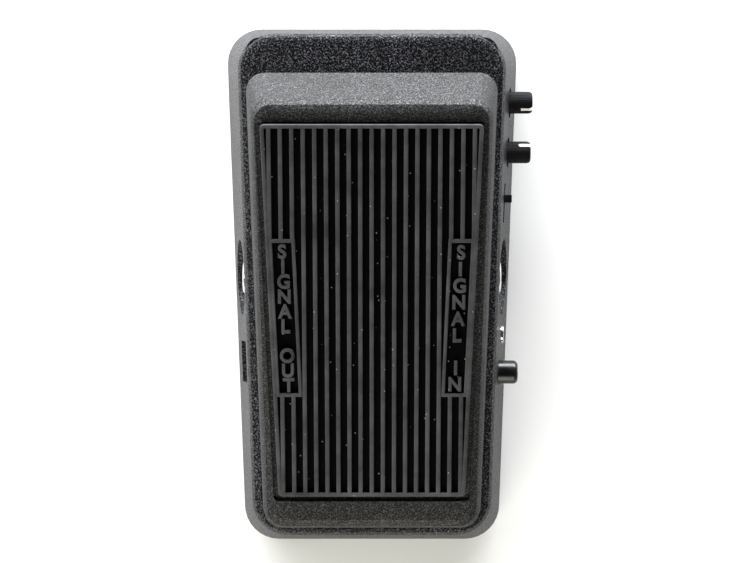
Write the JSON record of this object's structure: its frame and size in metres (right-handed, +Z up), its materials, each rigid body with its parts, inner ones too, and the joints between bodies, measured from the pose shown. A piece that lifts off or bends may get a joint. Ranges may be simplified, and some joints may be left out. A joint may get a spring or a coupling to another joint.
{
  "type": "guitar effects pedal",
  "caption": "Compact rocker-treadle guitar effects pedal: cast housing, ribbed rubber treadle pad, rack-driven sweep control, side knobs, jacks and buttons.",
  "frame": {"origin": "middle of the base plate's underside; the rubber feet reach 3 mm below it", "axes": "+Z up, +Y from the heel to the toe, +X to the player's right"},
  "size_m": [0.0899, 0.1522, 0.0744],
  "materials": {
    "crinkle_cast_aluminium": "black crinkle powder coat on cast aluminium",
    "zinc_steel": "zinc-plated pressed steel",
    "nickel": "bright nickel plate",
    "black_rubber": "moulded black rubber",
    "black_plastic": "matt black moulded plastic",
    "gloss_black_plastic": "polished black moulded plastic",
    "white_paint": "white paint filled into a slot",
    "white_nylon": "natural nylon",
    "blue_plastic": "blue moulded switch case",
    "gold_plate": "plated brass",
    "green_board": "solder-masked glass epoxy board",
    "red_casting": "red dipped component case",
    "navy_sleeve": "shrink sleeve on an aluminium can",
    "tan_lacquer": "lacquered resistor body",
    "grey_ribbon": "PVC ribbon cable",
    "clear_lens": "water-clear light-emitting diode"
  },
  "bodies": {
    "base": {"housing": "crinkle_cast_aluminium", "base_plate": "zinc_steel", "rubber_feet": "black_rubber", "base_screws": "nickel", "pivot_axle": "zinc_steel", "axle_clips": "nickel", "heel_bumpers": "black_rubber", "footswitch_body": "blue_plastic", "footswitch_bushing": "nickel", "footswitch_washer": "nickel", "footswitch_nut": "nickel", "footswitch_terminals": "gold_plate", "main_board": "green_board", "board_screws": "nickel", "input_jack_body": "black_plastic", "input_jack_bushing": "nickel", "input_jack_contacts": "gold_plate", "output_jack_body": "black_plastic", "output_jack_bushing": "nickel", "output_jack_contacts": "gold_plate", "power_socket_body": "black_plastic", "power_socket_pin": "nickel", "volume_pot_body": "black_plastic", "q_pot_body": "black_plastic", "range_switch_body": "zinc_steel", "boost_switch_body": "black_plastic", "indicator_light": "clear_lens", "light_bezel": "nickel", "sweep_pot_body": "zinc_steel", "sweep_pot_nut": "nickel", "pot_bracket": "zinc_steel", "bracket_screws": "nickel", "rack_guide": "white_nylon", "guide_screws": "nickel", "inductor": "red_casting", "electrolytic_capacitors": "navy_sleeve", "film_capacitors": "red_casting", "resistors": "tan_lacquer", "transistors": "black_plastic", "footswitch_ribbon": "grey_ribbon", "sweep_pot_ribbon": "grey_ribbon"},
    "treadle": {"treadle": "crinkle_cast_aluminium", "rubber_pad": "black_rubber", "toe_pad": "black_rubber", "lug_bushings": "white_nylon", "rack_bracket": "zinc_steel", "rack_bracket_screws": "nickel", "rack_pin": "nickel"},
    "rack": {"rack": "white_nylon"},
    "pinion": {"pinion": "white_nylon", "sweep_pot_shaft": "zinc_steel"},
    "plunger": {"footswitch_plunger": "nickel"},
    "volume": {"volume_knob": "black_plastic", "volume_pointer": "white_paint"},
    "q": {"q_knob": "black_plastic", "q_pointer": "white_paint"},
    "range": {"range_slider": "black_plastic"},
    "boost": {"boost_button": "gloss_black_plastic"}
  },
  "joints": [
    {"name": "treadle_tilt", "type": "hinge", "parent": "base", "child": "treadle", "pos_m": [0, 0, 0.04], "axis": [-1, 0, 0], "range_deg": [0, 12.5]},
    {"name": "rack_slide", "type": "slide", "parent": "base", "child": "rack", "axis": [0, 0, -1], "range_m": [0, 0.0066]},
    {"name": "pinion_turn", "type": "hinge", "parent": "base", "child": "pinion", "pos_m": [0, 0.02161, 0.02148], "axis": [-1, 0, 0], "range_deg": [0, 78.5]},
    {"name": "plunger_press", "type": "slide", "parent": "base", "child": "plunger", "axis": [0, 0, -1], "range_m": [0, 0.0025], "stiffness_N_per_m": 900},
    {"name": "volume_turn", "type": "hinge", "parent": "base", "child": "volume", "pos_m": [0.04, 0.053, 0.0163], "axis": [-1, 0, 0], "range_deg": [-107, 193]},
    {"name": "q_turn", "type": "hinge", "parent": "base", "child": "q", "pos_m": [0.04, 0.0385, 0.0163], "axis": [-1, 0, 0], "range_deg": [-188, 112]},
    {"name": "range_slide", "type": "slide", "parent": "base", "child": "range", "axis": [0, 1, 0], "range_m": [-0.005, 0.0025]},
    {"name": "boost_press", "type": "slide", "parent": "base", "child": "boost", "axis": [-1, 0, 0], "range_m": [0, 0.002], "stiffness_N_per_m": 500}
  ],
  "couplings": [
    {"joint": "rack_slide", "follows": "treadle_tilt", "m_per_rad": 0.029941},
    {"joint": "pinion_turn", "follows": "treadle_tilt", "ratio": 6.2376}
  ]
}
